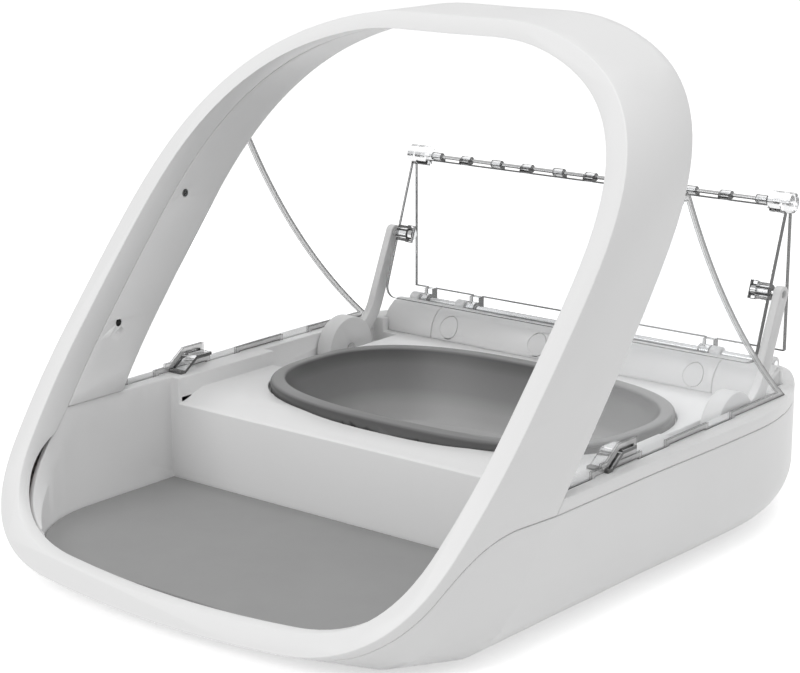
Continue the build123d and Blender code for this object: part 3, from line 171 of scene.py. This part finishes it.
# %% Plastics and rubbers
white_shell = moulded("white_shell", grey(0.86), grey(0.845), 0.36)
inner_white = moulded("inner_plastic", grey(0.74), grey(0.70), 0.5, 1500, 0.02 * mm)
arm_grey = moulded("grey_arm", grey(0.74), grey(0.71), 0.42)
gear_nylon = moulded("gear_nylon", grey(0.70, 0.03), grey(0.66, 0.03), 0.5, 1800, 0.015 * mm)
button_grey = moulded("button_grey", grey(0.55), grey(0.52), 0.45)
sensor_black = moulded("sensor_black", grey(0.012), grey(0.02), 0.22)
cell_wrap = moulded("cell_wrap", grey(0.05), grey(0.075), 0.3, 700, 0.005 * mm)
mat_rubber = moulded("mat_rubber", grey(0.325), grey(0.30), 0.62, 1400, 0.04 * mm, specular=0.35)
foot_rubber = moulded("foot_rubber", grey(0.03), grey(0.045), 0.75, 1200, 0.05 * mm, specular=0.3)
board_green = moulded("circuit_green", (0.012, 0.09, 0.035), (0.02, 0.12, 0.05), 0.38, 600, 0.01 * mm)
lamp_lens = moulded("lamp_lens", (0.7, 0.78, 0.75), (0.66, 0.74, 0.71), 0.2)
lamp_lens.node_tree.nodes["Principled BSDF"].inputs["Transmission Weight"].default_value = 0.5

# %% [markdown]
# Drawn and turned metal carries fine lines.  They come from the same noise, squeezed along one axis.

# %% Metals
along_x, along_y = (0.03, 1, 1), (1, 0.05, 1)
steel = moulded("steel_pin", grey(0.82, -0.01), grey(0.76), 0.2, 900, 0.004 * mm, metal=1.0,
                stretch=along_x)
motor_can = moulded("motor_can", grey(0.45), grey(0.38), 0.34, 700, 0.006 * mm, metal=1.0,
                    stretch=along_y)
copper = moulded("copper", (0.62, 0.24, 0.09), (0.5, 0.18, 0.06), 0.32, 1500, 0.01 * mm, metal=1.0)
print("finishes so far:", ", ".join(material.name for material in bpy.data.materials))

# %% [markdown]
# Clear polycarbonate is a transmission shader.  The sheets are flat and thin, so they hardly show face on:
# what the eye sees is their edges, which gather the dark of the room.  One clear finish for all would lose
# them, so the dark of the edges is painted in as a dark grey, painted shade, with pale painted strips
# beside them.

# %% Clear plastic, painted shade for its edges, and painted strips
clear_ior = 1.45


def see_through(name, colour, roughness, weight, wave):
    """Transparent plastic with a very shallow flow ripple."""
    material, tree, shader, coordinates = new_finish(name)
    ripple = noise(tree, coordinates, 18, 1)
    relief(tree, ripple.outputs["Fac"], shader, wave)
    vary_gloss(tree, ripple, shader, roughness, roughness + 0.01)
    two_tones(tree, ripple, shader, colour, tuple(part * 0.99 for part in colour))
    shader.inputs["IOR"].default_value = clear_ior
    shader.inputs["Transmission Weight"].default_value = weight
    material.diffuse_color = (*colour, 0.3)
    return material


clear_plastic = see_through("clear_plastic", (0.975, 0.98, 0.985), 0.0, 1.0, 0.0001 * mm)
# Dark grey: painted shade for the sheets' edges and thin lines.  Pale grey: the painted strips beside them.
clear_edge_painted_shade = see_through("clear_edge_painted_shade", grey(0.16), 0.15, 0.3, 0.002 * mm)
clear_painted_strip = see_through("clear_painted_strip", grey(0.80), 0.12, 0.6, 0.002 * mm)
print("clear finishes:", clear_plastic.name, clear_edge_painted_shade.name, clear_painted_strip.name)

# %% [markdown]
# The bowl is smoked plastic, a dark grey.  Over the height its colour also carries painted light and shade:
# the thick rim is dark from its smoke and from painted shade under its lip, its top is paler as a painted
# highlight, and its floor is painted paler again for the light that comes through it.  True absorption
# through a thin wall needs many bounces, so a colour ramp over the height paints those tones.

# %% Smoked plastic: painted light and shade over the height
bowl_floor, bowl_rim = 17.5 * mm, 48.3 * mm
# Heights and tones of the ramp, which is the smoke's grey with painted light and shade: paler at the floor
# for light through it, darkest just under the rim's top as painted shade, and paler at the top as a painted
# highlight.
bowl_painted_light_tones = ((0.0, 0.5), (0.3, 0.42), (0.5, 0.27), (0.8, 0.2), (0.9, 0.13), (0.97, 0.1), (1.0, 0.26))

smoke_bowl, tree, shader, coordinates = new_finish("smoke_bowl")
place = tree.nodes.new("ShaderNodeSeparateXYZ")
tree.links.new(coordinates.outputs["Object"], place.inputs["Vector"])
tones = tree.nodes.new("ShaderNodeValToRGB")
stops = tones.color_ramp.elements
stops[0].position, stops[1].position = bowl_painted_light_tones[0][0], bowl_painted_light_tones[-1][0]
for position, tone in bowl_painted_light_tones[1:-1]:
    stops.new(position)
for stop, (position, tone) in zip(stops, bowl_painted_light_tones):
    stop.color = (*grey(tone), 1)
height = remap(tree, place.outputs["Z"], (bowl_floor, bowl_rim), (0.0, 1.0))
tree.links.new(height, tones.inputs["Fac"])
tree.links.new(tones.outputs["Color"], shader.inputs["Base Color"])
print("bowl tones:", [(round(stop.position, 2), round(stop.color[1], 2)) for stop in stops])

# %% [markdown]
# Two round dips in the bowl's floor are so shallow that only their shading shows.  Each comes from the
# distance to its centre, and the lower of the two is the height.

# %% Smoked plastic: dips and gloss
dip_squeeze = (1, 1.15)
dip_reach = 30 * mm
dip_depth = 1.2 * mm
dip_centres = ((-28 * mm, 16 * mm), (34 * mm, 16 * mm))


def dip(centre):
    """Height of one dip: 0 inside, 1 outside."""
    shifted = tree.nodes.new("ShaderNodeMapping")
    shifted.inputs["Location"].default_value = (-centre[0] * dip_squeeze[0], -centre[1] * dip_squeeze[1], 0)
    shifted.inputs["Scale"].default_value = (*dip_squeeze, 0)
    far = tree.nodes.new("ShaderNodeVectorMath")
    far.operation = "LENGTH"
    tree.links.new(coordinates.outputs["Object"], shifted.inputs["Vector"])
    tree.links.new(shifted.outputs["Vector"], far.inputs[0])
    return remap(tree, far.outputs["Value"], (dip_reach * 0.82, dip_reach), (0.0, 1.0), "SMOOTHSTEP")


lower = tree.nodes.new("ShaderNodeMath")
lower.operation = "MINIMUM"
for centre, socket in zip(dip_centres, lower.inputs):
    tree.links.new(dip(centre), socket)
relief(tree, lower.outputs[0], shader, dip_depth)
vary_gloss(tree, noise(tree, coordinates, 60, 2), shader, 0.36, 0.37)
shader.inputs["IOR"].default_value = 1.49
shader.inputs["Transmission Weight"].default_value = 0.1
shader.inputs["Specular IOR Level"].default_value = 0.35
smoke_bowl.diffuse_color = (*grey(0.2), 0.7)
print("bowl finish:", len(tree.nodes), "nodes")

# %% [markdown]
# ## Soft edges
# A solid from CAD ends in knife edges, and a real moulding never does: each edge has a small round that
# catches a line of light.  The node's own mesh may not change, so a copy of it is welded, its flat faces
# are joined, and a Bevel modifier rounds what is sharper than about 30 degrees.  Joining faces that are
# only nearly flat would spoil the curved shells, so the limit is a twentieth of a degree.

# %% Selecting, and applying modifiers
def start_clean():
    """Nothing selected, and object mode."""
    if bpy.context.object and bpy.context.object.mode != "OBJECT":
        bpy.ops.object.mode_set(mode="OBJECT")
    bpy.ops.object.select_all(action="DESELECT")


def activate(piece):
    """Selects one piece alone."""
    start_clean()
    bpy.context.view_layer.objects.active = piece
    piece.select_set(True)


def apply_modifiers(piece):
    """Applies every modifier on a piece."""
    activate(piece)
    for modifier in list(piece.modifiers):
        bpy.ops.object.modifier_apply(modifier=modifier.name)


# %% A welded copy, and its dress
weld_reach = 0.004 * mm
flat_enough = radians(0.05)


def welded_copy(node):
    """Copy of a node's mesh as a new piece, with its loose triangles joined."""
    start_clean()
    piece = bpy.data.objects.new(f"{node}_shape", nodes[node].data.copy())
    bpy.context.scene.collection.objects.link(piece)
    activate(piece)
    bpy.ops.object.mode_set(mode="EDIT")
    bpy.ops.mesh.select_all(action="SELECT")
    bpy.ops.mesh.remove_doubles(threshold=weld_reach)
    bpy.ops.mesh.dissolve_limited(angle_limit=flat_enough)
    bpy.ops.object.mode_set(mode="OBJECT")
    return piece


def dress(piece, node, materials):
    """Gives a piece its finishes, and the body and place of the node it stands for."""
    piece.data.materials.clear()
    for material in materials:
        piece.data.materials.append(material)
    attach(piece, nodes[node]["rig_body"])
    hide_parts(node)


# %% Round the shells, the arms and the bowl
sharp_edge = 32


def soften(node, material, width):
    """Rounded stand-in for a CAD node."""
    piece = welded_copy(node)
    edges = piece.modifiers.new("edges", "BEVEL")
    edges.width = width
    edges.segments = 2
    edges.limit_method = "ANGLE"
    edges.angle_limit = radians(sharp_edge)
    edges.use_clamp_overlap = False
    apply_modifiers(piece)
    bpy.ops.object.shade_smooth_by_angle(angle=radians(sharp_edge + 6))
    dress(piece, node, [material])
    print(piece.name, len(piece.data.polygons), "faces")


rounded = {
    "white_shell": (white_shell, 0.4 * mm, ["base_shell", "deck", "rear_cover", "hoop_front_shell",
                    "hoop_rear_shell", "hinge_cover_centre", "hinge_cover_left", "hinge_cover_right",
                    "battery_door_left", "battery_door_right"]),
    "grey_arm": (arm_grey, 0.4 * mm, ["arm_left", "arm_right"]),
    "smoke_bowl": (smoke_bowl, 0.6 * mm, ["bowl"]),
}
for slot, (material, width, names) in rounded.items():
    for node in names:
        soften(node, material, width)

# %% [markdown]
# ## Clear sheets
# The windows, the two lid panels and the spring clips are clear.  A clear sheet stays flat and unrounded,
# or what is behind it would swim.  Its narrow faces are its edges.  They are found by patch: faces that
# meet at a shallow angle belong together, and a patch with little area for its outline is narrow.

# %% Narrow faces of a sheet
sheet_thickness = 2.3 * mm      # a little more than any clear sheet has
tiny_outline = 18 * mm          # a patch with less outline is a detail, not an edge
patch_angle = radians(30)


def narrow_faces(mesh):
    """Faces in patches, bounded by sharp edges, that are narrower than a sheet is thick."""
    shape = bmesh.new()
    shape.from_mesh(mesh)
    seen, narrow = set(), []
    for first in shape.faces:
        if first in seen:
            continue
        seen.add(first)
        patch, outline = [first], 0.0
        for face in patch:
            for edge in face.edges:
                if edge.is_manifold and edge.calc_face_angle() < patch_angle:
                    fresh = [other for other in edge.link_faces if other not in seen]
                    seen.update(fresh)
                    patch += fresh
                else:
                    outline += edge.calc_length()
        area = sum(face.calc_area() for face in patch)
        if outline > tiny_outline and 2 * area / outline < sheet_thickness:
            narrow += [face.index for face in patch]
    shape.free()
    return narrow


# %% [markdown]
# The windows' edges, seen through their flat faces, show as a pale strip between two thin dark lines.
# These are painted round each flat face, so each is inset three times: a dark line of painted shade, the
# pale painted strip, and a dark line.  The lid's panels have only the dark line.

# %% Painted dark lines and pale strips round the flat faces
smallest_flat = 500 * mm * mm
# Material slots of the painted shade and of the painted pale strip.
painted_shade_index, painted_strip_index = 1, 2
painted_ring_indices = (painted_shade_index, painted_strip_index, painted_shade_index)


def add_rings(piece, widths):
    """Insets every large flat face by each width in turn, and gives each ring its painted shade or painted
    strip.
    """
    activate(piece)
    bpy.ops.object.mode_set(mode="EDIT")
    bpy.context.tool_settings.mesh_select_mode = (False, False, True)
    bpy.ops.mesh.select_all(action="DESELECT")
    bpy.ops.object.mode_set(mode="OBJECT")
    for face in piece.data.polygons:
        face.select = face.area > smallest_flat
    for width, finish in zip(widths, painted_ring_indices):
        faces_before = len(piece.data.polygons)
        bpy.ops.object.mode_set(mode="EDIT")
        bpy.ops.mesh.inset(thickness=width, depth=0, use_select_inset=False)
        bpy.ops.object.mode_set(mode="OBJECT")
        for face in piece.data.polygons[faces_before:]:
            face.material_index = finish


# %% Make the sheets
def clear_sheet(node, widths):
    """Stand-in for a clear node, with edges in painted shade and painted rings of these widths on its flat
    faces.
    """
    piece = welded_copy(node)
    dress(piece, node, [clear_plastic, clear_edge_painted_shade, clear_painted_strip])
    # The sheet's narrow edge faces take the dark grey: painted shade for the dark they show by refraction.
    for index in narrow_faces(piece.data):
        piece.data.polygons[index].material_index = painted_shade_index
    add_rings(piece, widths)
    bpy.ops.object.shade_smooth_by_angle(angle=radians(25))
    print(piece.name, len(piece.data.polygons), "faces")


# Widths of the painted rings: a dark line, a pale strip and a dark line on the windows, one dark line on
# the lid.
window_rings = (0.25 * mm, 1.7 * mm, 0.25 * mm)
lid_rings = (0.3 * mm,)
sheets = {"lid_rear_panel": lid_rings, "lid_front_panel": lid_rings, "side_window_left": window_rings,
          "side_window_right": window_rings, "lid_keeper_left": (), "lid_keeper_right": ()}
for node, widths in sheets.items():
    clear_sheet(node, widths)

# %% [markdown]
# ## Finishes for the nodes that stay
# The other solids already have the right shape: pins, gears, cells, buttons and feet.  Each takes its
# finish in its own material slots, and only its shading is smoothed.

# %% Paint the nodes
smooth_below = radians(35)
painted = {
    mat_rubber: ["bay_mat"],
    steel: ["case_screws", "lid_rear_hinge_pin", "lid_mid_hinge_pin", "arm_axle_left", "arm_axle_right",
            "drive_shaft", "battery_contacts", "lid_pin_left", "lid_pin_right"],
    gear_nylon: ["drive_pinion_left", "drive_pinion_right", "shaft_bush_left", "shaft_bush_right"],
    inner_white: ["arm_bracket_left", "arm_bracket_right", "shaft_bracket_left", "shaft_bracket_right",
                  "gearbox_housing", "battery_tray"],
    motor_can: ["drive_motor"],
    board_green: ["main_circuit_board"],
    copper: ["antenna_coil"],
    sensor_black: ["ir_emitters", "ir_receivers", "micro_switches"],
    cell_wrap: ["battery_cells"],
    button_grey: ["button_add_pet", "button_lid"],
    lamp_lens: ["status_lamp"],
    foot_rubber: ["rubber_feet"],
    white_shell: ["ridge_plugs"],
}
for material, names in painted.items():
    for node in names:
        mesh = nodes[node].data
        mesh.materials.clear()
        mesh.materials.append(material)
        activate(nodes[node])
        bpy.ops.object.shade_smooth_by_angle(angle=smooth_below)
    print(material.name, "on", ", ".join(names))
start_clean()

# %% [markdown]
# ## Stage, lights and camera
# The photograph's ground is pure white.  More light would burn out the white shells, so the floor and the
# air only show white to rays that look at them or through glass, and light the object at a plain level.
# The floor keeps the object's shadow.

# %% Choosing by the kind of ray
def any_ray(tree, kinds):
    """Output that is 1 for a ray of any of these kinds, else 0."""
    rays = tree.nodes.new("ShaderNodeLightPath")
    found = rays.outputs[kinds[0]]
    for kind in kinds[1:]:
        either = tree.nodes.new("ShaderNodeMath")
        either.operation = "MAXIMUM"
        tree.links.new(found, either.inputs[0])
        tree.links.new(rays.outputs[kind], either.inputs[1])
        found = either.outputs[0]
    return found


def show_by_ray(tree, kinds, plain, shown, target):
    """Sends one shader to rays of these kinds, and the plain one to the rest."""
    choice = tree.nodes.new("ShaderNodeMixShader")
    tree.links.new(any_ray(tree, kinds), choice.inputs["Fac"])
    tree.links.new(plain, choice.inputs[1])
    tree.links.new(shown, choice.inputs[2])
    tree.links.new(choice.outputs[0], target.inputs["Surface"])


# %% Floor
floor_side = 30
floor_glow = 0.55
bpy.ops.mesh.primitive_plane_add(size=floor_side, location=(0, 0, 0))
floor = bpy.context.object
floor.name = "floor"
floor_paint, tree, shader, coordinates = new_finish("floor_paint")
shader.inputs["Base Color"].default_value = (*grey(0.80), 1)
shader.inputs["Roughness"].default_value = 0.9
shader.inputs["Specular IOR Level"].default_value = 0.0
glow = tree.nodes.new("ShaderNodeEmission")
glow.inputs["Strength"].default_value = floor_glow
both = tree.nodes.new("ShaderNodeAddShader")
tree.links.new(shader.outputs["BSDF"], both.inputs[0])
tree.links.new(glow.outputs["Emission"], both.inputs[1])
show_by_ray(tree, ("Is Camera Ray", "Is Glossy Ray", "Is Transmission Ray"), shader.outputs["BSDF"],
            both.outputs[0], tree.nodes["Material Output"])
floor.data.materials.append(floor_paint)
print("floor:", floor_side, "m wide")

# %% World
world = bpy.data.worlds.new("studio")
bpy.context.scene.world = world
world.use_nodes = True
air = world.node_tree
dim = air.nodes["Background"]
bright = air.nodes.new("ShaderNodeBackground")
for background, strength in ((dim, 0.55), (bright, 1.0)):
    background.inputs["Color"].default_value = (1, 1, 1, 1)
    background.inputs["Strength"].default_value = strength
show_by_ray(air, ("Is Camera Ray", "Is Transmission Ray"), dim.outputs[0], bright.outputs[0],
            air.nodes["World Output"])
print("world:", len(air.nodes), "nodes")

# %% [markdown]
# Two large soft lamps shape the object: one from the front left, which lights the hoop's face, and one
# from above, which lights the deck and leaves the bay's walls a little darker.

# %% Lamps
def soft_lamp(name, place, aim, size, power):
    """Square area lamp at a place, turned to a point."""
    lamp = bpy.data.lights.new(name, "AREA")
    lamp.size = size
    lamp.energy = power
    holder = bpy.data.objects.new(name, lamp)
    bpy.context.scene.collection.objects.link(holder)
    holder.location = place
    holder.rotation_euler = (Vector(aim) - Vector(place)).to_track_quat("-Z", "Y").to_euler()
    print(name, power, "W")


soft_lamp("front_lamp", (-0.5, -1.7, 1.3), (0, -0.05, 0.08), 1.0, 11)
soft_lamp("top_lamp", (0.2, 0.3, 1.9), (0, 0, 0), 1.4, 13)

# %% [markdown]
# The camera stands where the photograph was taken from: to the feeder's right front, a little above it,
# with a long lens.  Its angles, place and lens were fitted to corners of the feeder in the picture.

# %% Camera
azimuth, elevation, roll = radians(39.09), radians(14.45), radians(-0.11)
camera_place = (0.4980, -0.6367, 0.2812)
lens = bpy.data.cameras.new("eye")
lens.sensor_width = 36
lens.lens = 96.19
lens.shift_x = 0.0006
lens.shift_y = 0.0044
lens.clip_start = 0.01
camera = bpy.data.objects.new("eye", lens)
bpy.context.scene.collection.objects.link(camera)
pan = Matrix.Rotation(azimuth, 4, "Z")
tilt = Matrix.Rotation(pi / 2 - elevation, 4, "X")
camera.matrix_world = Matrix.Translation(camera_place) @ pan @ tilt @ Matrix.Rotation(roll, 4, "Z")
bpy.context.scene.camera = camera
bpy.context.scene.view_settings.view_transform = "Standard"
print("camera:", camera_place, "lens", lens.lens, "mm")
